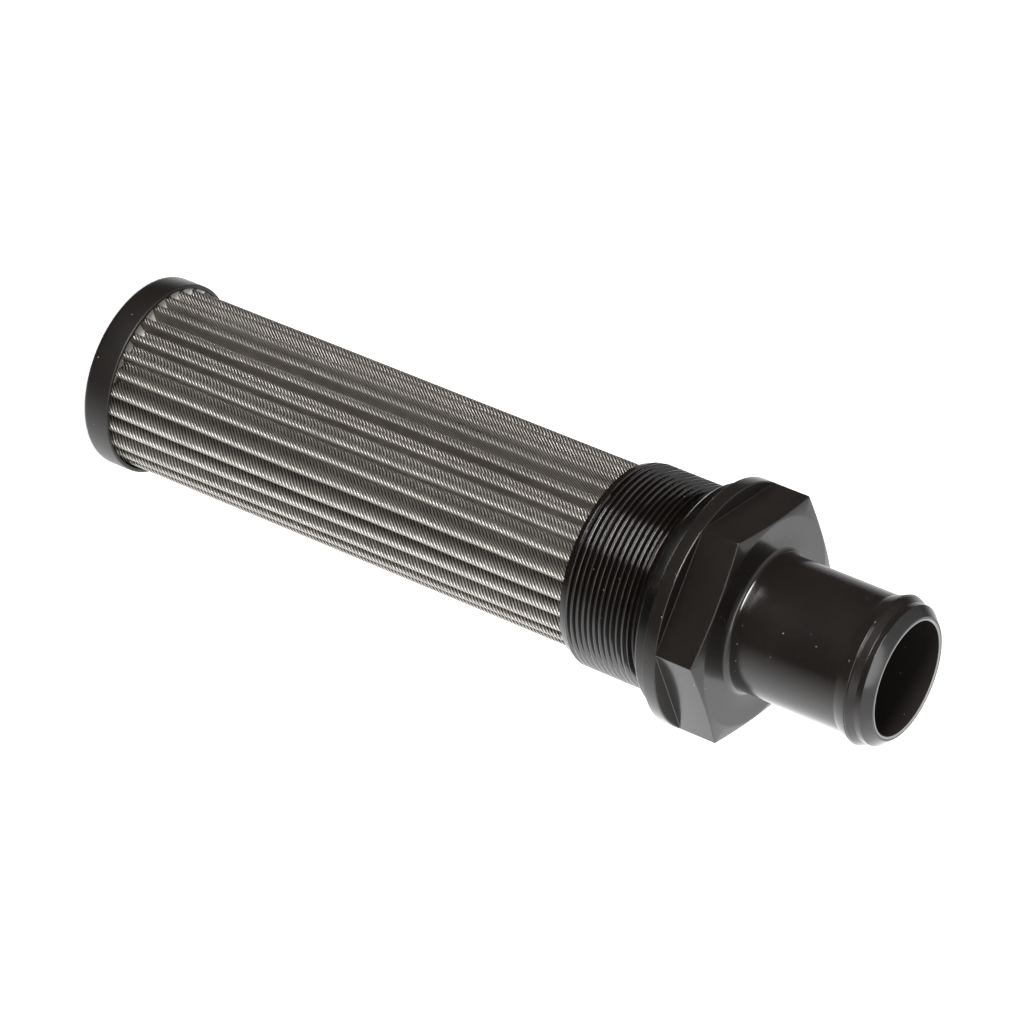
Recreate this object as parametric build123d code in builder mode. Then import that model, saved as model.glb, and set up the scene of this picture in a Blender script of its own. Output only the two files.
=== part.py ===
from build123d import *
import math
import os

# Suction strainer for a hydraulic tank: a moulded head with a pipe thread, a flange, a hexagon and a hose
# tail, and a pleated wire element that is bonded between the head and an end cap.
# Millimetres and degrees. The origin is the centre of the end cap's flat end, and +Z runs along the axis
# to the mouth of the hose tail.

# Overall
overall_length = 325.0
port_clearance = 0.1

# Thread, by the standard for pipe threads of size 2 1/2
thread_diameter = 75.184
thread_depth = 1.479
thread_length = 30.2
thread_lead_in = 3.0
relief_length = 3.5
relief_depth = 0.2

# Flange, its seal and the land that the seal sits on
seal_width = 4.8
seal_thickness = 4.0
seal_bore_clearance = 0.3
seal_edge_chamfer = 0.5
land_setback = 1.2
land_height = 2.0
flange_overhang = 4.0
flange_thickness = 5.0
flange_edge_chamfer = 0.5

# Hexagon
hex_across_flats = 78.0
hex_height = 15.2
hex_edge_radius = 0.6
hex_chamfer_inset = 1.0
hex_chamfer_angle = 9.5

# Hose tail
tail_diameter = 50.0
tail_length = 56.3
tail_wall = 4.4
tail_root_radius = 2.0
lip_width = 1.6
lead_cone_length = 3.1
neck_rise = 0.3
neck_length = 2.2
bead_height = 2.0
bead_front_length = 3.2
bead_back_length = 5.0
bead_crest_radius = 1.6

# Passage inside the head
passage_widening = 3.0
passage_length = 18.0
passage_cone_length = 20.0

# Pleated element
pleat_count = 28
pleat_clearance = 0.66
pleat_depth = 8.0
pleat_crest_radius = 1.25
pleat_valley_radius = 1.9
mesh_thickness = 0.8
pleat_turn = -6.6

# Support cage inside the pleats
cage_wall = 1.7
cage_clearance = 0.3
cage_columns = 6
cage_rows = 6
cage_rib_width = 6.0
cage_ring_height = 6.0

# End cap
cap_wall = 1.5
cap_floor = 1.6
cap_height = 11.5
cap_edge_radius = 2.5
cap_rim_chamfer = 0.4

# Socket in the head, and the adhesive that bonds the element at both ends
socket_depth = 10.0
socket_clearance = 0.55
bed_thickness = 1.6
bed_overhang = 0.6
plug_clearance = 0.12
plug_depth = 4.5
cap_plug_rise = 1.8
rim_drop = 0.6
head_plug_drop = 3.0

# Radii that follow from the sizes above
thread_radius = thread_diameter / 2
thread_root_radius = thread_radius - thread_depth
relief_radius = thread_root_radius - relief_depth
seal_bore_radius = relief_radius + seal_bore_clearance
seal_radius = seal_bore_radius + seal_width
land_radius = seal_radius - land_setback
flange_radius = seal_radius + flange_overhang
hex_corner_radius = hex_across_flats / math.sqrt(3)
hex_face_radius = hex_across_flats / 2 - hex_chamfer_inset
tail_radius = tail_diameter / 2
mouth_radius = tail_radius - tail_wall
lip_radius = mouth_radius + lip_width
neck_radius = tail_radius + neck_rise
bead_radius = tail_radius + bead_height
passage_radius = mouth_radius + passage_widening
cap_radius = thread_root_radius - port_clearance
cap_bore_radius = cap_radius - cap_wall
pleat_radius = cap_bore_radius - pleat_clearance
pleat_root_radius = pleat_radius - pleat_depth
socket_radius = pleat_radius + socket_clearance
cage_radius = pleat_root_radius - cage_clearance
cage_bore_radius = cage_radius - cage_wall
bed_bore_radius = cage_bore_radius - bed_overhang

# Levels along the axis
mouth_level = overall_length
cone_level = mouth_level - lead_cone_length
neck_level = cone_level - neck_length
bead_level = neck_level - bead_front_length
bead_back_level = bead_level - bead_back_length
hex_top_level = overall_length - tail_length
flange_top_level = hex_top_level - hex_height
flange_bottom_level = flange_top_level - flange_thickness
seal_top_level = flange_bottom_level - land_height
seal_bottom_level = seal_top_level - seal_thickness
thread_top_level = seal_bottom_level - relief_length
head_end_level = thread_top_level - thread_length
socket_floor_level = head_end_level + socket_depth
head_bed_level = socket_floor_level - bed_thickness
cap_bed_level = cap_floor + bed_thickness
passage_top_level = socket_floor_level + passage_length
bore_level = passage_top_level + passage_cone_length


def export_piece(piece, name):
    """Label a finished piece and write it to its own file."""
    piece.part.label = name
    export_step(piece.part, f"parts/{name}.step")


def polar_point(radius, angle):
    """Point in the XY plane at a radius and an angle in degrees."""
    return (radius * math.cos(math.radians(angle)), radius * math.sin(math.radians(angle)))


def draw_pleats(crest_bend, valley_bend, crest_centre, valley_centre):
    """Draw a closed pleated outline: crest and valley arcs joined by the straight flanks that touch both.

    The bends are the radii of the arcs, and the centres are the radii of the circles their centres lie on.
    """
    pitch = 360 / pleat_count
    run = Vector(*polar_point(valley_centre, pitch / 2)) - Vector(crest_centre, 0)
    lean = math.degrees(math.acos((crest_bend + valley_bend) / run.length))
    normal_angle = math.degrees(math.atan2(run.Y, run.X)) - lean
    crest_tangent = Vector(crest_centre, 0) + Vector(*polar_point(crest_bend, normal_angle))
    valley_tangent = Vector(crest_centre, 0) + run - Vector(*polar_point(valley_bend, normal_angle))
    for index in range(pleat_count):
        middle = pleat_turn + index * pitch
        crest_start = Vector(crest_tangent.X, -crest_tangent.Y).rotate(Axis.Z, middle)
        crest_end = crest_tangent.rotate(Axis.Z, middle)
        valley_start = valley_tangent.rotate(Axis.Z, middle)
        valley_end = Vector(valley_tangent.X, -valley_tangent.Y).rotate(Axis.Z, middle + pitch)
        next_crest = Vector(crest_tangent.X, -crest_tangent.Y).rotate(Axis.Z, middle + pitch)
        crest_tip = polar_point(crest_centre + crest_bend, middle)
        valley_tip = polar_point(valley_centre - valley_bend, middle + pitch / 2)
        ThreePointArc(crest_start, crest_tip, crest_end)
        Line(crest_end, valley_start)
        ThreePointArc(valley_start, valley_tip, valley_end)
        Line(valley_end, next_crest)


def make_potting(floor_level, height, direction, slope_rise):
    """Adhesive in a cup: a bed under the element, a thin wall round it and a plug in each outer valley.

    direction is +1 where the cup opens upwards and -1 where it opens downwards. slope_rise is how far
    the plugs climb above the wall on their inner side.
    """
    wall_radius = cap_bore_radius if direction > 0 else socket_radius
    wall_bore_radius = pleat_radius + plug_clearance
    pitch = 360 / pleat_count
    outer_room = wall_bore_radius * math.sin(math.radians(pitch / 2)) - pleat_crest_radius
    outer_half_width = outer_room - plug_clearance
    inner_half_width = pleat_valley_radius - plug_clearance
    plug_floor = Plane.XY.offset(floor_level)
    with BuildPart() as potting:
        with BuildSketch(plug_floor):
            Circle(wall_radius)
            Circle(bed_bore_radius, mode=Mode.SUBTRACT)
        extrude(amount=direction * bed_thickness)
        with BuildSketch(plug_floor):
            Circle(wall_radius)
            Circle(wall_bore_radius, mode=Mode.SUBTRACT)
            with PolarLocations(0, pleat_count, start_angle=pleat_turn + pitch / 2):
                Polygon(
                    (wall_bore_radius - plug_depth, -inner_half_width),
                    (wall_bore_radius + plug_clearance, -outer_half_width),
                    (wall_bore_radius + plug_clearance, outer_half_width),
                    (wall_bore_radius - plug_depth, inner_half_width),
                    align=None,
                )
        extrude(amount=direction * (height + slope_rise))
        if slope_rise > 0:
            wall_top = floor_level + direction * height
            with BuildSketch(Plane.XZ):
                with BuildLine():
                    Polyline(
                        (wall_radius + 1, wall_top),
                        (wall_bore_radius, wall_top),
                        (wall_bore_radius - plug_depth, wall_top + direction * slope_rise),
                        (wall_bore_radius - plug_depth, wall_top + direction * (slope_rise + 1)),
                        (wall_radius + 1, wall_top + direction * (slope_rise + 1)),
                        close=True,
                    )
                make_face()
            revolve(axis=Axis.Z, mode=Mode.SUBTRACT)
    return potting


os.makedirs("parts", exist_ok=True)

# Strainer body: the turned form of thread, relief, seal land and flange
with BuildPart() as strainer_body:
    with BuildSketch(Plane.XZ):
        with BuildLine():
            Polyline(
                (0, head_end_level),
                (thread_root_radius, head_end_level),
                (thread_radius, head_end_level + thread_lead_in),
                (thread_radius, thread_top_level),
                (relief_radius, thread_top_level + thread_depth),
                (relief_radius, seal_top_level),
                (land_radius, seal_top_level),
                (land_radius, flange_bottom_level),
                (flange_radius, flange_bottom_level),
                (flange_radius, flange_top_level),
                (0, flange_top_level),
                close=True,
            )
        make_face()
    revolve(axis=Axis.Z)
    flange_rim = strainer_body.edges().filter_by(GeomType.CIRCLE).group_by(SortBy.RADIUS)[-1]
    chamfer(flange_rim, length=flange_edge_chamfer)

    # Hexagon on the flange, with its corners turned down
    with BuildSketch(Plane.XY.offset(flange_top_level)) as hexagon:
        RegularPolygon(radius=hex_across_flats / 2, side_count=6, major_radius=False)
        fillet(hexagon.vertices(), radius=hex_edge_radius)
    extrude(amount=hex_height)
    cut_radius = hex_corner_radius + 1
    cut_depth = (cut_radius - hex_face_radius) * math.tan(math.radians(hex_chamfer_angle))
    with BuildSketch(Plane.XZ):
        with BuildLine():
            Polyline(
                (hex_face_radius, hex_top_level),
                (cut_radius, hex_top_level - cut_depth),
                (cut_radius, hex_top_level + 1),
                (hex_face_radius, hex_top_level + 1),
                close=True,
            )
        make_face()
    revolve(axis=Axis.Z, mode=Mode.SUBTRACT)

    # Hose tail with its bead, neck and lead-in cone
    with BuildSketch(Plane.XZ) as tail_profile:
        with BuildLine():
            Polyline(
                (0, hex_top_level),
                (tail_radius, hex_top_level),
                (tail_radius, bead_back_level),
                (bead_radius, bead_level),
                (neck_radius, neck_level),
                (neck_radius, cone_level),
                (lip_radius, mouth_level),
                (0, mouth_level),
                close=True,
            )
        make_face()
        bead_crest = tail_profile.vertices().sort_by(Axis.X)[-1]
        fillet(bead_crest, radius=bead_crest_radius)
    revolve(axis=Axis.Z)
    tail_root = (
        strainer_body.edges()
        .filter_by(GeomType.CIRCLE)
        .filter_by(lambda edge: abs(edge.radius - tail_radius) < 0.01)
        .sort_by(Axis.Z)[0]
    )
    fillet(tail_root, radius=tail_root_radius)

    # Socket for the element, and the passage to the mouth
    with BuildSketch(Plane.XZ):
        with BuildLine():
            Polyline(
                (0, head_end_level),
                (socket_radius, head_end_level),
                (socket_radius, socket_floor_level),
                (passage_radius, socket_floor_level),
                (passage_radius, passage_top_level),
                (mouth_radius, bore_level),
                (mouth_radius, mouth_level),
                (0, mouth_level),
                close=True,
            )
        make_face()
    revolve(axis=Axis.Z, mode=Mode.SUBTRACT)
export_piece(strainer_body, "strainer_body")

# Flange seal: a flat ring round the relief, against the land
with BuildPart() as flange_seal:
    with BuildSketch(Plane.XY.offset(seal_bottom_level)):
        Circle(seal_radius)
        Circle(seal_bore_radius, mode=Mode.SUBTRACT)
    extrude(amount=seal_thickness)
    seal_rim = flange_seal.edges().filter_by(GeomType.CIRCLE).group_by(SortBy.RADIUS)[-1]
    chamfer(seal_rim, length=seal_edge_chamfer)
export_piece(flange_seal, "flange_seal")

# Filter mesh: one pleated sheet closed to a cylinder
with BuildPart() as filter_mesh:
    with BuildSketch(Plane.XY.offset(cap_bed_level)):
        crest_centre_radius = pleat_radius - pleat_crest_radius
        valley_centre_radius = pleat_root_radius + mesh_thickness + pleat_valley_radius
        with BuildLine():
            draw_pleats(
                pleat_crest_radius,
                pleat_valley_radius,
                crest_centre_radius,
                valley_centre_radius,
            )
        make_face()
        with BuildLine():
            draw_pleats(
                pleat_crest_radius - mesh_thickness,
                pleat_valley_radius + mesh_thickness,
                crest_centre_radius,
                valley_centre_radius,
            )
        make_face(mode=Mode.SUBTRACT)
    extrude(amount=head_bed_level - cap_bed_level)
export_piece(filter_mesh, "filter_mesh")

# Support cage: ribs and rings inside the pleats
with BuildPart() as support_cage:
    cage_length = head_bed_level - cap_bed_level
    row_pitch = (cage_length - cage_ring_height) / cage_rows
    window_height = row_pitch - cage_ring_height
    window_width = 2 * math.pi * cage_radius / cage_columns - cage_rib_width
    first_window_level = cap_bed_level + cage_ring_height + window_height / 2
    with BuildSketch(Plane.XY.offset(cap_bed_level)):
        Circle(cage_radius)
        Circle(cage_bore_radius, mode=Mode.SUBTRACT)
    extrude(amount=cage_length)
    with Locations(*[(0, 0, first_window_level + row * row_pitch) for row in range(cage_rows)]):
        with PolarLocations(cage_radius, cage_columns):
            Box(4 * cage_wall, window_width, window_height, mode=Mode.SUBTRACT)
export_piece(support_cage, "support_cage")

# End cap: a shallow cup
with BuildPart() as end_cap:
    with BuildSketch(Plane.XZ):
        with BuildLine():
            Polyline(
                (0, 0),
                (cap_radius, 0),
                (cap_radius, cap_height),
                (cap_bore_radius, cap_height),
                (cap_bore_radius, cap_floor),
                (0, cap_floor),
                close=True,
            )
        make_face()
    revolve(axis=Axis.Z)
    cap_circles = end_cap.edges().filter_by(GeomType.CIRCLE)
    cap_outer_edges = cap_circles.group_by(SortBy.RADIUS)[-1].sort_by(Axis.Z)
    fillet(cap_outer_edges[0], radius=cap_edge_radius)
    cap_rim = end_cap.edges().filter_by(GeomType.CIRCLE).group_by(Axis.Z)[-1].sort_by(SortBy.RADIUS)[-1]
    chamfer(cap_rim, length=cap_rim_chamfer)
export_piece(end_cap, "end_cap")

# Adhesive at both ends of the element
potting_cap = make_potting(
    floor_level=cap_floor,
    height=cap_height - cap_floor - rim_drop,
    direction=1,
    slope_rise=cap_plug_rise,
)
export_piece(potting_cap, "potting_cap")

potting_head = make_potting(
    floor_level=socket_floor_level,
    height=socket_depth - head_plug_drop,
    direction=-1,
    slope_rise=0,
)
export_piece(potting_head, "potting_head")
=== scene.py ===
import math

import bmesh
import bpy
import numpy as np
from mathutils import Matrix, Vector


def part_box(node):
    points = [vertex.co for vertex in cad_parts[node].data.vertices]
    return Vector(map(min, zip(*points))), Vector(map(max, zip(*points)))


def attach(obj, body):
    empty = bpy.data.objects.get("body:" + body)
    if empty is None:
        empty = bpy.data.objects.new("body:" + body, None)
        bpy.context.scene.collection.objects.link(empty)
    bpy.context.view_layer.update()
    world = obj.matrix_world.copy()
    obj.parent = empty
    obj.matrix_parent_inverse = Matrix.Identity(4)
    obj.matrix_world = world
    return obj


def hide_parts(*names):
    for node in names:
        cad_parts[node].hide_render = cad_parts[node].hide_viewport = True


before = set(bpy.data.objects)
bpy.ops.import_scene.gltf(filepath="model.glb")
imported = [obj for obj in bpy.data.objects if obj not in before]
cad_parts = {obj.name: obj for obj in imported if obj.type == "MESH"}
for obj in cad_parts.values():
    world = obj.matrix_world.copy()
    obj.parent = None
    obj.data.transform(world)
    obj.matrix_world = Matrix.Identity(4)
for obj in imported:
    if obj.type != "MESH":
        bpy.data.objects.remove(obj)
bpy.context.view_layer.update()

# The strainer stands on its end cap with its axis along Z and the mouth of the hose tail up.
# Lengths are in millimetres unless a comment says otherwise, and MM turns them into metres.
MM = 0.001

# Fineness of the turned meshes: the head has a column for each step in degrees and more beside the hexagon's
# corners, and a plain ring and some roundings have a number of steps. Points within the weld distance are
# joined, which also closes a form that starts at the centre radius.
column_step = 1.5
corner_columns = (-0.9, -0.5, -0.3, -0.12, 0.12, 0.3, 0.5, 0.9)
round_steps = 180
thread_round_steps = 7
flange_edge_steps = 5
hex_edge_steps = 4
weld_distance = 0.002
centre_radius = 0.001

# Levels and radii of the solids
mouth_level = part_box("strainer_body")[1].z / MM
head_end_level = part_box("strainer_body")[0].z / MM
flange_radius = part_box("strainer_body")[1].y / MM
seal_bottom_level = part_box("flange_seal")[0].z / MM
seal_top_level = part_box("flange_seal")[1].z / MM
seal_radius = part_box("flange_seal")[1].y / MM
cap_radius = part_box("end_cap")[1].y / MM
cap_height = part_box("end_cap")[1].z / MM
mesh_bottom_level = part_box("filter_mesh")[0].z / MM
mesh_top_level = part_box("filter_mesh")[1].z / MM

# Thread: a crest crosses the crest level at the crest angle in degrees. The rounding of the crest swells and
# shrinks along the helix in waves of (share of the rounding, swings in a turn, start).
thread_radius = 37.592
thread_pitch = 2.309
thread_depth = 1.479
thread_flank_angle = 27.5
thread_crest_round = 0.29
thread_crest_waves = ((0.35, 2.1, 0.0), (0.25, 4.7, 1.0))
thread_root_round = 0.16
thread_pilot = 1.9
thread_pilot_taper = 0.1
thread_end_level = 238.7
thread_crest_level = 225.65
thread_crest_angle = -92.8
relief_radius = 35.913

# Seal and flange. The outline of the seal starts and ends in its bore, at two heights over its underside.
seal_bore_clearance = 0.3
seal_bore_round = 0.2
seal_bevel_depth = 0.5
seal_bevel_length = 0.7
seal_bevel_round = 0.15
seal_side_round = 0.3
seal_rim_round = 0.12
seal_outline_start = 1.0
seal_outline_end = 1.5
land_radius = 39.813
land_height = 2.0
land_edge_round = 0.2
flange_thickness = 5.0

# Hexagon. Its chamfer angle is in degrees, and the mesh has rows at three margins from the chamfer's start.
hex_across_flats = 78.0
hex_height = 15.2
hex_corner_round = 0.6
hex_chamfer_inset = 1.0
hex_chamfer_angle = 9.5
hex_face_margins = (0.4, 0.0, -0.4)
hex_foot_radius = 0.22
hex_foot_height = 0.6
edge_round = 0.45

# Hose tail
tail_radius = 25.0
tail_root_radius = 2.0
tail_root_margin = 8.0
mouth_radius = 20.6
mouth_bevel = 0.3
lip_radius = 22.2
lip_round = 0.3
lead_cone_length = 3.1
neck_radius = 25.3
neck_length = 2.2
bead_radius = 27.0
bead_front_length = 3.2
bead_back_length = 5.0
bead_round = 0.25
bead_back_round = 0.5
bead_step_depth = 0.2
bead_step_length = 0.75
bead_step_slope = 1.2
bead_step_round = 0.1

# Inside of the head
passage_radius = 23.6
passage_length = 18.0
passage_cone_length = 20.0
socket_radius = 34.403
socket_depth = 10.0

# Cap
cap_wall = 1.5
cap_floor = 1.6
cap_edge_radius = 2.5
cap_rim_round = 0.45
cap_rim_inner_round = 0.35

# Adhesive in the cap: how far it lies under the rim, climbs up the pleats and leans to one side, and how the
# filling of a valley is shaped. The climb varies by a share from pleat to pleat. The bed has a column for
# each step in degrees, and a filling has a number of steps both ways.
bed_bore_radius = 23.253
adhesive_drop = 0.9
adhesive_climb = 1.2
adhesive_climb_shares = (0.75, 1.15)
adhesive_climb_power = 1.7
adhesive_climb_seed = 7
adhesive_lean = 4.2
adhesive_least = 1.0
adhesive_ring_drop = 0.6
adhesive_half_width = 2.6
adhesive_taper = 0.75
adhesive_taper_share = 0.75
adhesive_overlap = 0.1
adhesive_hollow = 0.55
adhesive_hollow_power = 3
adhesive_bed_gap = 0.01
adhesive_wall_gap = 0.02
adhesive_pleat_gap = 0.05
adhesive_column_step = 3.0
adhesive_steps = 11

# Pleated sheet, with the turns, shifts and wanderings of its pleats in degrees. A wandering is a sum of waves
# of three lengths, and differs in strength from pleat to pleat.
pleat_count = 28
pleat_radius = 33.853
pleat_depth = 8.0
pleat_crest_radius = 1.25
pleat_valley_radius = 1.9
pleat_turn = -6.6
pleat_shifts = {15: 1.5, 16: 1.5, 17: 1.2, 25: -1.2, 27: -1.5}
crest_wander = 0.35
valley_wander = 0.3
wander_lengths = (150.0, 70.0, 31.0)
wander_strengths = (0.5, 1.0)
crest_seed = 100
valley_seed = 200
mesh_thickness = 0.8
mesh_rows = 44
pleat_arc_steps = 8
pleat_flank_steps = 4

# Wire: its pitch, the repeat of the twill in wires, how round its section is, how high it arches and how far
# it swings. Painted shade darkens it between two depths in the pleats, and it has painted shade towards one
# side of the strainer and painted light towards the other, between two shares of the pleats' radius.
wire_pitch = 0.3725
twill_repeat = 4
wire_curve = 4.6
wire_arch = 0.8
wire_swing = 0.5
valley_shade_depth = 6.5
unshaded_depth = 2.2
valley_shade_share = 0.85
shaded_side = -0.6
lit_side = 0.9

# Levels and radii that follow
thread_root_radius = thread_radius - thread_depth
thread_run_out_level = thread_end_level + thread_radius - relief_radius
flange_bottom_level = seal_top_level + land_height
flange_top_level = flange_bottom_level + flange_thickness
hex_top_level = flange_top_level + hex_height
hex_face_radius = hex_across_flats / 2 - hex_chamfer_inset
cone_level = mouth_level - lead_cone_length
neck_level = cone_level - neck_length
bead_level = neck_level - bead_front_length
bead_back_level = bead_level - bead_back_length
socket_floor_level = head_end_level + socket_depth
passage_top_level = socket_floor_level + passage_length
bore_level = passage_top_level + passage_cone_length
valley_centre = pleat_radius - pleat_depth + mesh_thickness + pleat_valley_radius
valley_floor_radius = valley_centre - pleat_valley_radius
bed_level = mesh_bottom_level - adhesive_bed_gap
adhesive_radius = cap_radius - cap_wall - adhesive_wall_gap
ring_radius = pleat_radius + adhesive_pleat_gap

# Colours, as linear red, green, blue and opacity
body_black = (0.0052, 0.0041, 0.0036, 1.0)
thread_black = (0.0022, 0.0014, 0.0011, 1.0)
cap_black = (0.0042, 0.0029, 0.0022, 1.0)
cage_black = (0.02, 0.02, 0.02, 1.0)
scuffed_nylon = (0.009, 0.009, 0.0095, 1.0)
pale_rim = (0.22, 0.22, 0.21, 1.0)
# Painted light inside the bore, lighter than the nylon's own black
painted_bore_light = (0.018, 0.0155, 0.0145, 1.0)
dust = (0.5, 0.47, 0.43, 1.0)
dark_rubber = (0.0012, 0.0010, 0.0008, 1.0)
bloomed_rubber = (0.003, 0.0025, 0.0021, 1.0)
dark_adhesive = (0.30, 0.292, 0.27, 1.0)
light_adhesive = (0.47, 0.457, 0.43, 1.0)
# Painted shade in the crevices between the wires
painted_crevice_shade = (0.034, 0.031, 0.027, 1.0)
# The wire's two tones: painted shade on one side of the strainer and painted light on the other
shaded_side_wire = (0.29, 0.266, 0.237, 1.0)
lit_side_wire = (0.78, 0.74, 0.69, 1.0)
floor_shade = (0.94, 0.94, 0.94, 1.0)
floor_light = (0.97, 0.97, 0.97, 1.0)
white = (1.0, 1.0, 1.0, 1.0)


# Shape helpers
def rounded_outline(corners, steps=4):
    """Points of an open outline of (radius, level, rounding) corners, with an arc at each rounded one."""
    points = []
    for index, (radius, level, rounding) in enumerate(corners):
        corner = Vector((radius, level))
        if rounding == 0:
            points.append(corner)
            continue
        before = (Vector(corners[index - 1][:2]) - corner).normalized()
        after = (Vector(corners[index + 1][:2]) - corner).normalized()
        half_angle = before.angle(after) / 2
        centre = corner + (before + after).normalized() * rounding / math.sin(half_angle)
        start = corner + before * rounding / math.tan(half_angle) - centre
        end = corner + after * rounding / math.tan(half_angle) - centre
        for step in range(steps + 1):
            share = step / steps
            arm = start.slerp(end, share) if start.angle(end) > 1e-6 else start
            points.append(centre + arm.normalized() * rounding)
    return points


def level_rows(points, columns):
    """Rows of a turned form: one row of equal radius and level for each outline point."""
    return [(np.full(columns, point[0]), np.full(columns, point[1])) for point in points]


def full_turn(steps):
    """Angles through a full turn, in even steps."""
    return np.radians(np.linspace(0, 360, steps + 1))


def quarter_turn(steps):
    """Angles through a quarter of a turn, in even steps."""
    return np.linspace(0, math.pi / 2, steps + 1)


def weld(mesh):
    """Join points that meet, drop faces without area and turn every face outwards."""
    sculpt = bmesh.new()
    sculpt.from_mesh(mesh)
    bmesh.ops.remove_doubles(sculpt, verts=sculpt.verts, dist=weld_distance * MM)
    bmesh.ops.dissolve_degenerate(sculpt, edges=sculpt.edges, dist=weld_distance * MM)
    bmesh.ops.recalc_face_normals(sculpt, faces=sculpt.faces)
    sculpt.to_mesh(mesh)
    sculpt.free()


def rows_to_mesh(name, rows, angles):
    """Closed mesh through rows of radii and levels at the given angles, welded where points meet."""
    radii = np.array([row[0] for row in rows]) * MM
    levels = np.array([row[1] for row in rows]) * MM
    points = np.stack((radii * np.cos(angles), radii * np.sin(angles), levels), -1).reshape(-1, 3)
    row_count, columns = radii.shape
    lower = np.arange(row_count)
    upper = (lower + 1) % row_count
    column = np.arange(columns - 1)
    first = lower[:, None] * columns + column
    second = upper[:, None] * columns + column
    faces = np.stack((first, first + 1, second + 1, second), -1).reshape(-1, 4)
    mesh = bpy.data.meshes.new(name)
    mesh.from_pydata(points.tolist(), [], faces.tolist())
    weld(mesh)
    return mesh


def place_piece(name, mesh, material, node, sharp_angle=35):
    """Put a finished mesh into the scene as the piece that stands for a node."""
    mesh.materials.append(material)
    mesh.shade_smooth()
    mesh.set_sharp_from_angle(angle=math.radians(sharp_angle))
    piece = bpy.data.objects.new(name, mesh)
    bpy.context.scene.collection.objects.link(piece)
    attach(piece, "root")
    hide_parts(node)


# Material helpers. A mix node has sockets for every kind of value, and these are the ones for colours. Most
# of a noise lies within the usual range.
colour_inputs = (6, 7)
colour_result = 2
usual_noise = (0.3, 0.7)


class Nodes:
    """A node tree under construction, to which nodes are added with short calls."""

    def __init__(self, tree):
        self.tree = tree

    def add(self, kind, settings=None, **inputs):
        """Add a node, set its options and its inputs; an input that is a socket is linked."""
        node = self.tree.nodes.new(kind)
        for key, value in (settings or {}).items():
            setattr(node, key, value)
        for key, value in inputs.items():
            self.feed(node.inputs[key.replace("_", " ")], value)
        return node

    def feed(self, socket, value):
        """Link a socket to another one, or give it a fixed value."""
        if isinstance(value, bpy.types.NodeSocket):
            self.tree.links.new(value, socket)
        else:
            socket.default_value = value

    def math(self, operation, first, second=0.0):
        """Result of a sum, product or the like of one or two values."""
        node = self.tree.nodes.new("ShaderNodeMath")
        node.operation = operation
        self.feed(node.inputs[0], first)
        self.feed(node.inputs[1], second)
        return node.outputs[0]

    def place(self):
        """Position on the object in metres."""
        return self.add("ShaderNodeTexCoord").outputs["Object"]

    def reach(self, x, y):
        """Distance from the strainer's axis."""
        squares = self.math("ADD", self.math("MULTIPLY", x, x), self.math("MULTIPLY", y, y))
        return self.math("SQRT", squares)

    def noise(self, vector, scale, detail=3.0, roughness=0.5):
        """Cloudy value round one half, with scale clouds to the metre."""
        node = self.add("ShaderNodeTexNoise", Vector=vector, Scale=scale, Detail=detail, Roughness=roughness)
        return node.outputs["Fac"]

    def ramp(self, value, low, high, start=0.0, end=1.0):
        """Map value from low..high to start..end, held at both ends."""
        node = self.tree.nodes.new("ShaderNodeMapRange")
        self.feed(node.inputs["Value"], value)
        for key, number in (("From Min", low), ("From Max", high), ("To Min", start), ("To Max", end)):
            self.feed(node.inputs[key], number)
        return node.outputs["Result"]

    def blend(self, factor, first, second):
        """Colour between two others."""
        node = self.tree.nodes.new("ShaderNodeMix")
        node.data_type = "RGBA"
        self.feed(node.inputs["Factor"], factor)
        for socket, colour in zip(colour_inputs, (first, second)):
            self.feed(node.inputs[socket], colour)
        return node.outputs[colour_result]

    def bump(self, height, distance):
        """Normal of a relief whose height of one stands for a distance in metres."""
        node = self.add("ShaderNodeBump", Height=height, Distance=distance, Strength=1.0)
        return node.outputs["Normal"]


class Surface(Nodes):
    """A material under construction."""

    def __init__(self, name):
        self.material = bpy.data.materials.new(name)
        self.material.use_nodes = True
        super().__init__(self.material.node_tree)
        self.shader = self.tree.nodes["Principled BSDF"]

    def finish(self, **inputs):
        """Set the shader's inputs and give the material back."""
        for key, value in inputs.items():
            self.feed(self.shader.inputs[key.replace("_", " ")], value)
        return self.material


def dust_specks(surface, cell, size, share):
    """Mask of scattered specks of uneven width and strength, one each in a share of the cells."""
    cells = surface.add("ShaderNodeTexVoronoi", Vector=surface.place(), Scale=1 / cell, Randomness=1.0)
    channels = surface.add("ShaderNodeSeparateColor", Color=cells.outputs["Color"])
    width = surface.ramp(channels.outputs[1], 0.0, 1.0, 0.55 * size / cell, size / cell)
    near = surface.math("LESS_THAN", cells.outputs["Distance"], width)
    chosen = surface.math("LESS_THAN", channels.outputs[0], share)
    strength = surface.ramp(channels.outputs[2], 0.0, 1.0, 0.2, 0.8)
    return surface.math("MULTIPLY", surface.math("MULTIPLY", near, chosen), strength)


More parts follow.
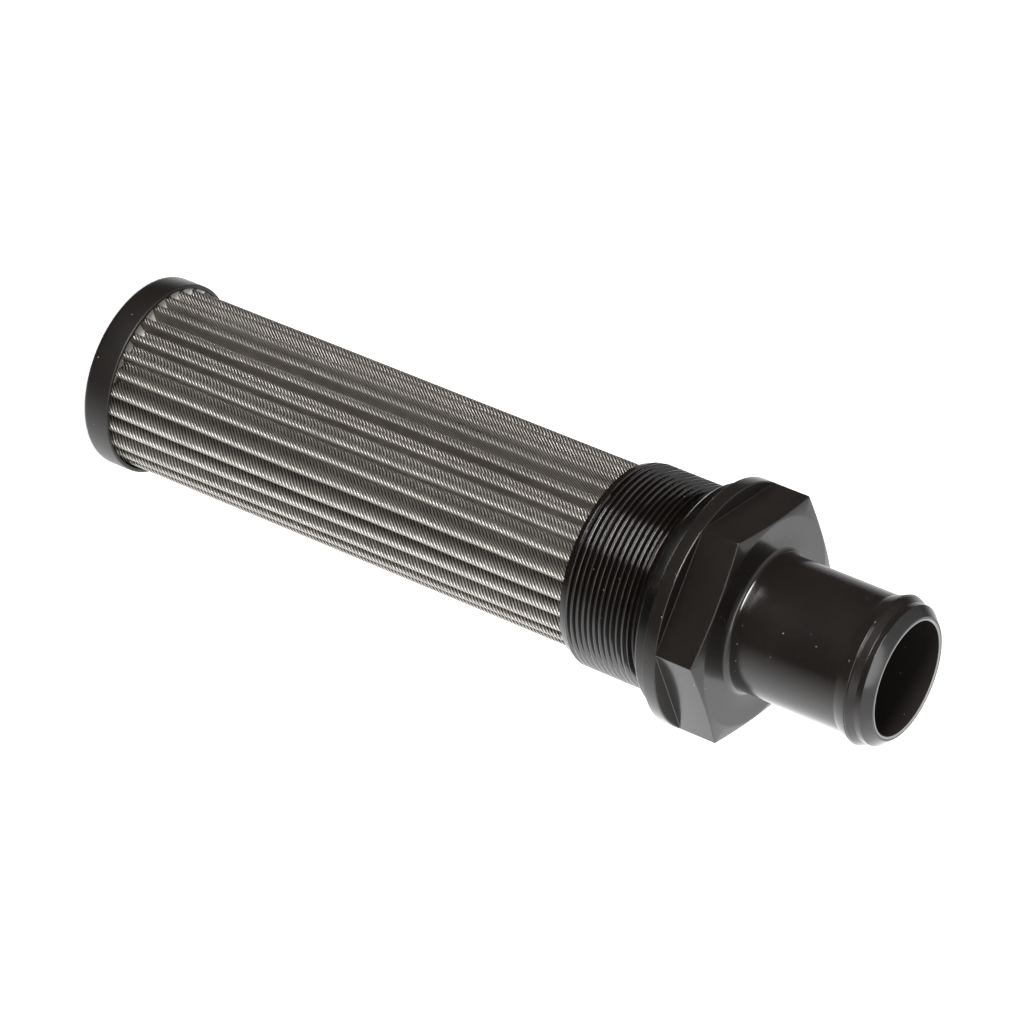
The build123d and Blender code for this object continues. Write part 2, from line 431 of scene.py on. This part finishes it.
def mouth_wear_and_bore_light(surface, place, base):
    """Colour with the lead-in cone scuffed, a pale thin rim round the mouth and painted light in the bore."""
    axes = surface.add("ShaderNodeSeparateXYZ", Vector=place)
    reach = surface.reach(axes.outputs["X"], axes.outputs["Y"])
    level = axes.outputs["Z"]

    outside = surface.math("GREATER_THAN", reach, (mouth_radius + 0.2) * MM)
    above = surface.ramp(level, (cone_level - 0.2) * MM, (cone_level + 0.1) * MM)
    wear = surface.noise(place, scale=900.0, roughness=0.7)
    patches = surface.ramp(wear, *usual_noise, 0.3, 1.0)
    scuffed = surface.math("MULTIPLY", surface.math("MULTIPLY", outside, above), patches)
    base = surface.blend(scuffed, base, scuffed_nylon)

    beyond_bore = surface.math("GREATER_THAN", reach, (mouth_radius + 0.03) * MM)
    within_lip = surface.math("LESS_THAN", reach, (mouth_radius + 0.8) * MM)
    at_mouth = surface.ramp(level, (mouth_level - 0.3) * MM, (mouth_level - 0.2) * MM)
    rim = surface.math("MULTIPLY", surface.math("MULTIPLY", beyond_bore, within_lip), at_mouth)
    base = surface.blend(rim, base, pale_rim)

    # Painted light: the inside of the bore is coloured lighter
    within_bore = surface.math("LESS_THAN", reach, (mouth_radius + 0.02) * MM)
    return surface.blend(within_bore, base, painted_bore_light)


def moulded_plastic(name, colour, roughness, grain, worn_and_bore_lit=False, coat=0.0):
    """Black glass-filled nylon: uneven sheen, fine grain and specks of dust, worn at the mouth, with painted
    light in its bore.
    """
    surface = Surface(name)
    place = surface.place()
    cloud = surface.noise(place, scale=45.0, detail=4.0, roughness=0.6)
    fine = surface.noise(place, scale=1400.0, detail=2.0, roughness=0.6)
    pale = tuple(channel * 1.4 for channel in colour[:3]) + colour[3:]
    base = surface.blend(surface.ramp(cloud, 0.42, 0.75), colour, pale)
    # Scuffs and a pale rim at the mouth, and painted light in the bore
    if worn_and_bore_lit:
        base = mouth_wear_and_bore_light(surface, place, base)
    specks = dust_specks(surface, cell=3.0 * MM, size=0.22 * MM, share=0.25)
    sheen = surface.math("ADD", surface.ramp(cloud, *usual_noise, roughness - 0.01, roughness + 0.02),
                         surface.ramp(fine, *usual_noise, -0.01, 0.01))
    height = surface.math("ADD", fine, cloud)
    return surface.finish(
        Base_Color=surface.blend(specks, base, dust),
        Roughness=sheen,
        Coat_Weight=coat,
        Coat_Roughness=roughness,
        Normal=surface.bump(height, grain * 0.01 * MM),
    )


def rubber(name):
    """Black nitrile rubber: dull, with a faint grey bloom."""
    surface = Surface(name)
    place = surface.place()
    bloom = surface.noise(place, scale=160.0, detail=4.0, roughness=0.6)
    fine = surface.noise(place, scale=2200.0, detail=2.0)
    return surface.finish(
        Base_Color=surface.blend(surface.ramp(bloom, 0.45, 0.75), dark_rubber, bloomed_rubber),
        Roughness=surface.ramp(bloom, *usual_noise, 0.22, 0.28),
        Normal=surface.bump(fine, 0.015 * MM),
    )


def adhesive(name):
    """Cured light grey adhesive: smooth, slightly cloudy."""
    surface = Surface(name)
    cloud = surface.noise(surface.place(), scale=300.0)
    return surface.finish(
        Base_Color=surface.blend(cloud, dark_adhesive, light_adhesive),
        Roughness=surface.ramp(cloud, *usual_noise, 0.3, 0.45),
        Normal=surface.bump(cloud, 0.1 * MM),
    )


def wire_height(surface, side, length_wise, offset):
    """Height of the wires that are counted by side and weave along length_wise, both in wire pitches.

    Each wire has an arched section and swings up and down once in a repeat of the twill, a step later than
    the wire beside it.
    """
    index = surface.math("FLOOR", side)
    middle = surface.math("SUBTRACT", surface.math("FRACT", side), 0.5)
    square = surface.math("MULTIPLY", surface.math("MULTIPLY", middle, middle), wire_curve)
    section = surface.math("SQRT", surface.math("MAXIMUM", surface.math("SUBTRACT", 1.0, square), 0.0))
    start = surface.math("SUBTRACT", surface.math("SUBTRACT", length_wise, index), offset)
    wave = surface.math("COSINE", surface.math("MULTIPLY", start, 2 * math.pi / twill_repeat))
    arch = surface.math("MULTIPLY", section, wire_arch)
    return surface.math("ADD", arch, surface.math("MULTIPLY", wave, wire_swing))


def woven_steel(name):
    """Stainless wire in a two-over two-under twill, laid out by the sheet's own coordinates.

    The wires that run along the axis and those that cross them rise and sink by turns, which makes the
    diagonal ribs of the cloth. Its colour has painted shade in the crevices between wires and down in the
    pleats, and painted shade towards one side of the strainer with painted light towards the other.
    """
    surface = Surface(name)
    sheet = surface.add("ShaderNodeUVMap", {"uv_map": "sheet"})
    axes = surface.add("ShaderNodeSeparateXYZ", Vector=sheet.outputs["UV"])
    across = axes.outputs["X"]
    along = axes.outputs["Y"]
    wires = surface.math(
        "MAXIMUM", wire_height(surface, across, along, 1.0), wire_height(surface, along, across, 2.0))
    diagonal = surface.math("SUBTRACT", along, across)
    rib = surface.math("COSINE", surface.math("MULTIPLY", diagonal, 2 * math.pi / twill_repeat))
    # Painted shade: the weave is coloured darker in the crevices and rib troughs between the wires
    shade = surface.ramp(surface.math("ADD", surface.math("MULTIPLY", wires, 0.6), rib), -0.4, 1.4)

    place = surface.place()
    cloud = surface.noise(place, scale=60.0, detail=4.0, roughness=0.6)
    part = surface.add("ShaderNodeSeparateXYZ", Vector=place)
    reach = surface.reach(part.outputs["X"], part.outputs["Y"])
    # Painted shade: the wire is coloured darker deep down in the pleats
    valley_shade_reach = (pleat_radius - valley_shade_depth) * MM
    valley_shade = surface.ramp(reach, valley_shade_reach, (pleat_radius - unshaded_depth) * MM, valley_shade_share, 1.0)
    # Painted shade and light: the wire is coloured darker towards one side of the strainer and lighter
    # towards the other, with random tone on top
    shaded_end = shaded_side * pleat_radius * MM
    side = surface.ramp(part.outputs["X"], shaded_end, lit_side * pleat_radius * MM)
    side_light_and_tone = surface.math("ADD", side, surface.ramp(cloud, 0.35, 0.7, 0.1, -0.1))
    bright = surface.blend(side_light_and_tone, shaded_side_wire, lit_side_wire)
    relief = surface.math("ADD", surface.math("MULTIPLY", wires, 0.5), rib)
    return surface.finish(
        Base_Color=surface.blend(surface.math("MULTIPLY", shade, valley_shade), painted_crevice_shade, bright),
        Metallic=0.85,
        Roughness=surface.ramp(cloud, *usual_noise, 0.3, 0.42),
        Normal=surface.bump(relief, 0.13 * MM),
    )


# Strainer body
def column_angles():
    """Angles of the mesh columns: even steps, and closer ones round each corner of the hexagon."""
    even = np.arange(0, 360, column_step)
    corners = (np.arange(0, 360, 60)[:, None] + np.array(corner_columns)).ravel() % 360
    angles = np.unique(np.concatenate((even, corners)))
    return np.radians(np.append(angles, 360.0))


def hexagon_radius(angles, inset, rounding):
    """Radius at each angle of a hexagon with rounded corners, drawn in by an inset."""
    half_flats = hex_across_flats / 2 - inset
    from_corner = np.abs((np.degrees(angles) + 30) % 60 - 30)
    centre = (half_flats - rounding) / math.cos(math.radians(30))
    tangent = math.degrees(math.atan2(rounding / 2, centre + rounding * math.cos(math.radians(30))))
    flat = half_flats / np.cos(np.radians(30 - from_corner))
    swing = np.radians(from_corner)
    inside = np.maximum(rounding**2 - (centre * np.sin(swing)) ** 2, 0)
    corner = centre * np.cos(swing) + np.sqrt(inside)
    return np.where(from_corner <= tangent, corner, flat)


def thread_steps():
    """Points through one ridge: a rounded crest, straight flanks and a rounded root.

    Each is (share of a pitch, depth) for a sharp crest, and how both grow with the rounding of the crest.
    """
    reach = math.radians(90 - thread_flank_angle)
    crest = []
    root = []
    for lean in np.linspace(-reach, reach, thread_round_steps):
        across = math.sin(lean) / thread_pitch
        drop = 1 - math.cos(lean)
        crest.append((0, 0, across, drop))
        root.append((0.5 + thread_root_round * across, thread_depth - thread_root_round * drop, 0, 0))
    return crest + root


def thread_rows(angles):
    """Rows that follow the helix of the thread, cut by the lead-in cone and the run-out into the relief."""
    steps = thread_steps()
    base = thread_crest_level - thread_pitch * math.radians(thread_crest_angle) / (2 * math.pi)
    first_turn = math.floor((head_end_level - base) / thread_pitch) - 2
    turns = math.ceil((thread_run_out_level - head_end_level) / thread_pitch) + 3
    rows = []
    for turn in range(first_turn, first_turn + turns + 1):
        way = turn + angles / (2 * math.pi)
        swell = sum(share * np.sin(swing * way + start) for share, swing, start in thread_crest_waves)
        rounding = thread_crest_round * (1 + swell)
        for share, depth, across, drop in steps:
            levels = base + thread_pitch * (way + share + rounding * across)
            levels = np.clip(levels, head_end_level, thread_run_out_level)
            climb = levels - head_end_level
            lead_in = thread_root_radius + thread_pilot_taper * climb + np.maximum(climb - thread_pilot, 0)
            run_out = thread_radius - np.maximum(levels - thread_end_level, 0)
            radii = np.minimum(np.minimum(thread_radius - depth - rounding * drop, lead_in), run_out)
            rows.append((radii, levels))
    return rows


def inside_outline():
    """Passage from the mouth down to the socket, and the end of the head out to the thread's root."""
    return rounded_outline([
        (mouth_radius + mouth_bevel, mouth_level, 0),
        (mouth_radius, mouth_level - mouth_bevel, 0),
        (mouth_radius, bore_level, 0),
        (passage_radius, passage_top_level, 0),
        (passage_radius, socket_floor_level, 0),
        (socket_radius, socket_floor_level, 0),
        (socket_radius, head_end_level, 0),
        (thread_root_radius, head_end_level, 0),
    ])


def seat_outline():
    """Relief behind the thread, land for the seal, and the underside and side of the flange."""
    return rounded_outline([
        (relief_radius, thread_run_out_level, 0),
        (relief_radius, seal_top_level, 0),
        (land_radius, seal_top_level, land_edge_round),
        (land_radius, flange_bottom_level, 0),
        (flange_radius, flange_bottom_level, land_edge_round),
        (flange_radius, flange_top_level - edge_round, 0),
    ])


def flange_top(radii):
    """Levels of the flange's upper side, with its rounded edge."""
    past = np.maximum(radii - flange_radius + edge_round, 0)
    return flange_top_level - edge_round + np.sqrt(np.maximum(edge_round**2 - past**2, 0))


def hexagon_top(radii):
    """Levels of the hexagon's end face, which a shallow cone turns down at the corners."""
    return hex_top_level - np.maximum(radii - hex_face_radius, 0) * math.tan(math.radians(hex_chamfer_angle))


def hexagon_rows(angles):
    """Rows from the flange's side over its edge, up the hexagon and in to the end face."""
    hexagon = hexagon_radius(angles, 0, hex_corner_round)
    rows = []

    # Upper edge of the flange, which the corners of the hexagon cut into
    for lean in quarter_turn(flange_edge_steps)[1:]:
        radii = np.maximum(flange_radius - edge_round * (1 - math.cos(lean)), hexagon)
        rows.append((radii, flange_top(radii)))
    rows.append((hexagon, flange_top(hexagon)))

    # Foot of the hexagon, hollowed where the flange leaves room for it
    foot = np.clip((flange_radius - edge_round - hexagon) / 2, 0, hex_foot_radius)
    for lean in quarter_turn(hex_edge_steps):
        rows.append((hexagon + foot * (1 - math.sin(lean)), flange_top_level + foot * (1 - math.cos(lean))))
    rows.append((hexagon, np.full(len(angles), flange_top_level + hex_foot_height)))

    # Softened top edge and the end face
    for lean in quarter_turn(hex_edge_steps):
        radii = hexagon_radius(angles, edge_round * (1 - math.cos(lean)), hex_corner_round)
        rows.append((radii, hexagon_top(radii) - edge_round * (1 - math.sin(lean))))
    for margin in hex_face_margins:
        radii = np.full(len(angles), hex_face_radius + margin)
        rows.append((radii, hexagon_top(radii)))
    return rows


def tail_outline():
    """Hose tail with its root, bead, neck, lead-in cone and lip."""
    return rounded_outline([
        (tail_radius + tail_root_margin, hex_top_level, 0),
        (tail_radius, hex_top_level, tail_root_radius),
        (tail_radius, bead_back_level, bead_back_round),
        (bead_radius, bead_level, bead_round),
        (bead_radius - bead_step_depth, bead_level + bead_step_depth * bead_step_slope, bead_step_round),
        (bead_radius - bead_step_depth, bead_level + bead_step_length, bead_round),
        (neck_radius, neck_level, bead_round),
        (neck_radius, cone_level, lip_round),
        (lip_radius, mouth_level, lip_round),
        (mouth_radius + mouth_bevel, mouth_level, 0),
    ], steps=6)


def make_body(material, thread_material):
    """Head of the strainer: socket, thread, flange, hexagon and hose tail in one grid round the axis."""
    angles = column_angles()
    count = len(angles)
    rows = level_rows(inside_outline(), count) + thread_rows(angles) + level_rows(seat_outline(), count)
    rows += hexagon_rows(angles) + level_rows(tail_outline(), count)
    mesh = rows_to_mesh("head_body", rows, angles)

    # The thread and its relief have the second material
    for face in mesh.polygons:
        reach = math.hypot(face.center.x, face.center.y) / MM
        if reach > thread_root_radius - 0.2 and face.center.z / MM < thread_end_level + 1:
            face.material_index = 1
    place_piece("head_body", mesh, material, "strainer_body")
    mesh.materials.append(thread_material)


# Flange seal
def make_seal(material):
    """Flat rubber ring with softened edges, bevelled on the tank side."""
    bore = relief_radius + seal_bore_clearance
    outline = rounded_outline([
        (bore, seal_bottom_level + seal_outline_start, 0),
        (bore, seal_bottom_level, seal_bore_round),
        (seal_radius - seal_bevel_depth, seal_bottom_level, seal_bevel_round),
        (seal_radius, seal_bottom_level + seal_bevel_length, seal_side_round),
        (seal_radius, seal_top_level, seal_rim_round),
        (bore, seal_top_level, seal_bore_round),
        (bore, seal_bottom_level + seal_outline_end, 0),
    ])
    angles = full_turn(round_steps)
    mesh = rows_to_mesh("seal_ring", level_rows(outline, len(angles)), angles)
    place_piece("seal_ring", mesh, material, "flange_seal")


# End cap
def make_cap(material):
    """Shallow cup with a rounded edge at its closed end and a softened rim."""
    outline = rounded_outline([
        (centre_radius, 0, 0),
        (cap_radius, 0, cap_edge_radius),
        (cap_radius, cap_height, cap_rim_round),
        (cap_radius - cap_wall, cap_height, cap_rim_inner_round),
        (cap_radius - cap_wall, cap_floor, 0),
        (centre_radius, cap_floor, 0),
    ], steps=6)
    angles = full_turn(round_steps)
    mesh = rows_to_mesh("cap_cup", level_rows(outline, len(angles)), angles)
    place_piece("cap_cup", mesh, material, "end_cap")


# Filter mesh
def wander(levels, seed, size):
    """Slow uneven drift along the axis, as hand-set pleats have."""
    dice = np.random.default_rng(seed)
    drift = np.zeros_like(levels)
    for wave_length in wander_lengths:
        phase = dice.uniform(0, 2 * math.pi)
        wave = np.sin(levels * 2 * math.pi / wave_length + phase)
        drift = drift + wave * wave_length / wander_lengths[0]
    return drift * size * dice.uniform(*wander_strengths)


def pleat_angle(number):
    """Angle in degrees of a crest, for a whole number, or of the valley half-way to the next one."""
    before = math.floor(number) % pleat_count
    after = math.ceil(number) % pleat_count
    shift = (pleat_shifts.get(before, 0.0) + pleat_shifts.get(after, 0.0)) / 2
    return pleat_turn + number * 360 / pleat_count + shift


def unit(angles):
    """Directions at the given angles, as (x, y)."""
    return np.stack((np.cos(angles), np.sin(angles)), -1)


def flank_points(start, end):
    """Points between the two ends of a flank."""
    shares = np.arange(1, pleat_flank_steps) / pleat_flank_steps
    return [start * (1 - share) + end * share for share in shares]


def pleat_rows(levels, crest_bend, valley_bend):
    """Outline of the pleated sheet at each level, as an array of rows, points and (x, y).

    The crests and valleys are arcs of the given bends, and the flanks are the straight lines that touch both.
    """
    crests = []
    valleys = []
    for index in range(pleat_count):
        crest = pleat_angle(index) + wander(levels, crest_seed + index, crest_wander)
        valley = pleat_angle(index + 0.5) + wander(levels, valley_seed + index, valley_wander)
        crests.append(unit(np.radians(crest)) * (pleat_radius - pleat_crest_radius))
        valleys.append(unit(np.radians(valley)) * valley_centre)

    def heading(crest, valley, side):
        """Direction square to the flank between a crest and the valley on one side of it."""
        run = valley - crest
        lean = np.arccos((crest_bend + valley_bend) / np.linalg.norm(run, axis=-1))
        return np.arctan2(run[:, 1], run[:, 0]) - side * lean

    points = []
    shares = np.arange(pleat_arc_steps + 1) / pleat_arc_steps
    for index in range(pleat_count):
        crest = crests[index]
        valley = valleys[index]
        following = crests[(index + 1) % pleat_count]
        start = heading(crest, valleys[index - 1], -1)
        end = heading(crest, valley, 1)
        turn = (end - start) % (2 * math.pi)
        points += [crest + crest_bend * unit(start + turn * share) for share in shares]
        points += flank_points(points[-1], valley - valley_bend * unit(end))
        start = heading(following, valley, -1)
        turn = (end - start) % (2 * math.pi)
        points += [valley - valley_bend * unit(end - turn * share) for share in shares]
        points += flank_points(points[-1], following + crest_bend * unit(start))
    return np.stack(points, 1)


def sheet_faces(across, along):
    """Faces of the outer side, the inner side and the two cut edges, and the sheet coordinates of each."""
    columns = len(across) - 1
    row_count = len(along)
    offset = row_count * columns
    faces = []
    coordinates = []
    for row in range(row_count - 1):
        for column in range(columns):
            a = row * columns + column
            b = row * columns + (column + 1) % columns
            c = b + columns
            d = a + columns
            faces.append((a, b, c, d))
            faces.append((offset + b, offset + a, offset + d, offset + c))
            left, right = across[column], across[column + 1]
            low, high = along[row], along[row + 1]
            coordinates += [(left, low), (right, low), (right, high), (left, high)]
            coordinates += [(right, low), (left, low), (left, high), (right, high)]
    for row in (0, row_count - 1):
        for column in range(columns):
            a = row * columns + column
            b = row * columns + (column + 1) % columns
            faces.append((b, a, offset + a, offset + b) if row == 0 else (a, b, offset + b, offset + a))
            coordinates += [(across[column], along[row])] * 4
    return faces, coordinates


def make_mesh(material):
    """Pleated wire sheet with an outer and an inner side, and sheet coordinates in wire pitches."""
    levels = np.linspace(mesh_bottom_level, mesh_top_level, mesh_rows)
    outer = pleat_rows(levels, pleat_crest_radius, pleat_valley_radius)
    inner = pleat_rows(levels, pleat_crest_radius - mesh_thickness, pleat_valley_radius + mesh_thickness)
    steps = np.linalg.norm(np.roll(outer[0], -1, 0) - outer[0], axis=-1)
    length = np.concatenate(([0], np.cumsum(steps)))
    wires = round(length[-1] / (twill_repeat * wire_pitch)) * twill_repeat
    faces, coordinates = sheet_faces(length / length[-1] * wires, levels / wire_pitch)
    height = np.broadcast_to(levels[:, None, None], outer.shape[:2] + (1,))
    points = np.concatenate([np.concatenate((side, height), -1).reshape(-1, 3) for side in (outer, inner)])
    mesh = bpy.data.meshes.new("pleated_mesh")
    mesh.from_pydata((points * MM).tolist(), [], faces)
    layer = mesh.uv_layers.new(name="sheet")
    layer.data.foreach_set("uv", np.array(coordinates, np.float32).ravel())
    place_piece("pleated_mesh", mesh, material, "filter_mesh", sharp_angle=60)


# Adhesive at the cap
def add_grid(points, faces, grid, closed=False):
    """Add a grid of points, given as rows of equal length, with the faces between them."""
    start = len(points)
    columns = len(grid[0])
    for row in grid:
        points.extend(row)
    for row in range(len(grid) - 1):
        for column in range(columns if closed else columns - 1):
            following = (column + 1) % columns
            a = start + row * columns + column
            b = start + row * columns + following
            faces.append((a, b, b + columns, a + columns))


def adhesive_level(angle):
    """Height of the adhesive at the cap's wall; it set while the cap leaned."""
    return max(cap_height - adhesive_drop - adhesive_lean * (1 + math.cos(angle)), bed_level + adhesive_least)


def adhesive_bed():
    """Rows of the bed under the element and of the thin ring between the pleats and the wall."""
    around = np.radians(np.arange(0, 360, adhesive_column_step))
    floor_levels = [cap_floor] * len(around)
    bed_levels = [bed_level] * len(around)
    ring_levels = [adhesive_level(angle) - adhesive_ring_drop for angle in around]
    outline = (
        (bed_bore_radius, floor_levels),
        (bed_bore_radius, bed_levels),
        (ring_radius, bed_levels),
        (ring_radius, ring_levels),
        (adhesive_radius, ring_levels),
        (adhesive_radius, floor_levels),
        (bed_bore_radius, floor_levels),
    )
    return [[(radius * math.cos(angle), radius * math.sin(angle), level)
             for angle, level in zip(around, levels)] for radius, levels in outline]


def valley_filling(index, climb):
    """Rows of the filling of an outer valley: hollow across, and drawn up towards the pleat by climb."""
    middle = math.radians(pleat_angle(index + 0.5))
    rows = []
    for share in np.linspace(0, 1, adhesive_steps):
        radius = adhesive_radius + (valley_floor_radius - adhesive_radius) * share
        reach = adhesive_half_width - adhesive_taper * min(share / adhesive_taper_share, 1.0)
        if radius < valley_centre:
            room = math.sqrt(max(pleat_valley_radius**2 - (valley_centre - radius) ** 2, 0.0))
            reach = room + adhesive_overlap
        row = []
        for side in np.linspace(-1, 1, adhesive_steps):
            hollow = adhesive_hollow * abs(side) ** adhesive_hollow_power
            level = adhesive_level(middle) + climb * share**adhesive_climb_power + hollow
            turn = middle + side * reach / radius
            row.append((radius * math.cos(turn), radius * math.sin(turn), level))
        first = (row[0][0], row[0][1], bed_level)
        last = (row[-1][0], row[-1][1], bed_level)
        rows.append([first] + row + [last])
    skirt = [(x, y, bed_level) for x, y, _ in rows[0]]
    return [skirt] + rows


def make_adhesive(material):
    """Bed under the element, a thin ring at the wall and a hollow-topped filling in each outer valley."""
    points = []
    faces = []
    add_grid(points, faces, adhesive_bed(), closed=True)
    dice = np.random.default_rng(adhesive_climb_seed)
    for index in range(pleat_count):
        climb = adhesive_climb * dice.uniform(*adhesive_climb_shares)
        add_grid(points, faces, valley_filling(index, climb))
    mesh = bpy.data.meshes.new("cap_adhesive")
    mesh.from_pydata((np.array(points) * MM).tolist(), [], faces)
    weld(mesh)
    place_piece("cap_adhesive", mesh, material, "potting_cap", sharp_angle=50)


# Camera at the photograph's viewing angle, in degrees and millimetres
view_turn = -2.79
view_tilt = 27.99
view_roll = 22.08
view_distance = 1721.8
view_height = 162.8
view_offset = -2.04
focal_length = 173.4
sensor_width = 36.0

# Surrounding light, as radiance, and the directions it comes from in degrees; it is dark behind the camera.
# Each fade runs between two cosines of the angle to a direction.
dark_elevation = 28.0
dark_share = 0.2
dark_fade = (0.84, 0.97)
dim_light = 0.055
full_light = 1.15
overhead_fade = (0.1, 0.7)
overhead_shares = (0.4, 1.6)
side_light = 1.8
side_fade = (0.1, 0.8)
bright_side = 125.0
back_light = 0.85
back_fade = (0.55, 0.88)
low_fade = (-0.1, 0.15)

# Lamps: place, target, width and height in metres, power in watts, and shape; the floor is in metres too
lamps = {
    "key": ((-0.52, -0.98, 0.38), (0, 0, 0.16), (0.95, 0.35), 25.0, "ELLIPSE"),
    "fill": ((0.0, -0.70, 1.48), (0, 0, 0.16), (1.2, 0.45), 6.0, "RECTANGLE"),
    "rim": ((-0.36, 0.78, -0.78), (0, 0, 0.2), (0.5, 0.5), 1.7, "RECTANGLE"),
}
floor_half_width = 6.0


def look_axes():
    """Directions of the picture: along the strainer's axis, across it, and into the depth."""
    turn = math.radians(view_turn)
    tilt = math.radians(view_tilt)
    across = Vector((math.cos(turn), math.sin(turn), 0))
    level = Vector((-math.sin(turn), math.cos(turn), 0))
    up = Vector((0, 0, 1))
    along = level * math.sin(tilt) + up * math.cos(tilt)
    depth = level * math.cos(tilt) - up * math.sin(tilt)
    return along, across, depth


def make_camera():
    """Camera that sees the strainer's axis fall to the right, as in the photograph."""
    along, across, depth = look_axes()
    roll = math.radians(view_roll)
    right = along * math.cos(roll) - across * math.sin(roll)
    down = along * math.sin(roll) + across * math.cos(roll)
    rotation = Matrix((right, -down, -depth)).transposed().to_4x4()
    place = Vector((0, 0, view_height)) + across * view_offset - depth * view_distance
    camera = bpy.data.objects.new("camera", bpy.data.cameras.new("camera"))
    camera.data.sensor_width = sensor_width
    camera.data.lens = focal_length
    camera.data.clip_start = 0.05
    camera.data.clip_end = 50.0
    camera.matrix_world = Matrix.Translation(place * MM) @ rotation
    bpy.context.scene.collection.objects.link(camera)
    bpy.context.scene.camera = camera


def make_light(name, place, target, size, power, shape):
    """Soft lamp at a place in metres, turned to a target, with its power in watts."""
    data = bpy.data.lights.new(name, "AREA")
    data.shape = shape
    data.size, data.size_y = size
    data.energy = power
    lamp = bpy.data.objects.new(name, data)
    lamp.location = place
    lamp.rotation_euler = (Vector(target) - Vector(place)).to_track_quat("-Z", "Y").to_euler()
    bpy.context.scene.collection.objects.link(lamp)


def make_sky():
    """Soft surrounding light: bright overhead, low down bright on one side and behind, and dim in front."""
    world = bpy.data.worlds.new("studio")
    world.use_nodes = True
    bpy.context.scene.world = world
    sky = Nodes(world.node_tree)
    coordinates = sky.add("ShaderNodeTexCoord")
    direction = sky.add("ShaderNodeSeparateXYZ", Vector=coordinates.outputs["Generated"])

    # Overhead, brighter on one side and with a dark patch behind the camera
    overhead = sky.math("MULTIPLY", sky.ramp(direction.outputs["Z"], *overhead_fade),
                        sky.ramp(direction.outputs["X"], -1.0, 1.0, *overhead_shares))
    lift = sky.math("MULTIPLY", direction.outputs["Z"], math.sin(math.radians(dark_elevation)))
    depth = sky.math("MULTIPLY", direction.outputs["Y"], math.cos(math.radians(dark_elevation)))
    toward_camera = sky.math("SUBTRACT", lift, depth)
    overhead = sky.math("MULTIPLY", overhead, sky.ramp(toward_camera, *dark_fade, 1.0, dark_share))

    # Beside the strainer, and low behind it
    toward_side = sky.math("MULTIPLY", direction.outputs["X"], math.sin(math.radians(bright_side)))
    toward_back = sky.math("MULTIPLY", direction.outputs["Y"], -math.cos(math.radians(bright_side)))
    beside = sky.ramp(sky.math("ADD", toward_side, toward_back), *side_fade, 0.0, side_light)
    low = sky.ramp(direction.outputs["Z"], *low_fade, 1.0, 0.0)
    behind = sky.math("MULTIPLY", sky.ramp(direction.outputs["Y"], *back_fade, 0.0, back_light), low)

    # The brightest of the three lights the strainer, and the camera sees white
    bright = sky.math("MAXIMUM", sky.math("MAXIMUM", overhead, beside), behind)
    light = sky.ramp(bright, 0.0, 2.0, dim_light, 2 * full_light)
    seen = sky.add("ShaderNodeLightPath").outputs["Is Camera Ray"]
    shown = sky.math("MAXIMUM", light, seen)
    background = sky.tree.nodes["Background"]
    background.inputs["Color"].default_value = white
    sky.feed(background.inputs["Strength"], shown)


def make_floor():
    """Pale plain floor, which mirrors nothing into the part's glossy surfaces."""
    half = floor_half_width
    mesh = bpy.data.meshes.new("floor")
    corners = [(-half, -half, 0), (half, -half, 0), (half, half, 0), (-half, half, 0)]
    mesh.from_pydata(corners, [], [(0, 1, 2, 3)])
    surface = Surface("pale_floor")
    haze = surface.noise(surface.place(), scale=2.0, detail=2.0)
    mesh.materials.append(surface.finish(
        Base_Color=surface.blend(haze, floor_shade, floor_light),
        Roughness=0.9,
        Emission_Color=white,
        Emission_Strength=0.35,
    ))
    floor = bpy.data.objects.new("floor", mesh)
    floor.visible_glossy = False
    floor.visible_shadow = False
    bpy.context.scene.collection.objects.link(floor)


def make_studio():
    """Floor, surrounding light, two soft lamps in front and a small one low behind."""
    make_floor()
    make_sky()
    for name, lamp in lamps.items():
        make_light(name, *lamp)
    bpy.context.scene.view_settings.view_transform = "Standard"


# The strainer in its studio
# The body is scuffed at the mouth and has painted light in its bore
black_nylon = moulded_plastic("black_nylon_moulded", body_black, roughness=0.165, grain=0.3, worn_and_bore_lit=True)
thread_nylon = moulded_plastic("thread_nylon_moulded", thread_black, roughness=0.13, grain=0.03, coat=0.5)
cap_nylon = moulded_plastic("cap_nylon_moulded", cap_black, roughness=0.43, grain=0.5)
make_camera()
make_studio()
make_body(black_nylon, thread_nylon)
make_seal(rubber("seal_rubber_dull"))
make_cap(cap_nylon)
make_mesh(woven_steel("steel_mesh_woven"))
grey_adhesive = adhesive("adhesive_cured")
make_adhesive(grey_adhesive)
cage_nylon = moulded_plastic("cage_nylon_moulded", cage_black, roughness=0.5, grain=0.8)
for node, material in (("potting_head", grey_adhesive), ("support_cage", cage_nylon)):
    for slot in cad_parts[node].material_slots:
        slot.material = material
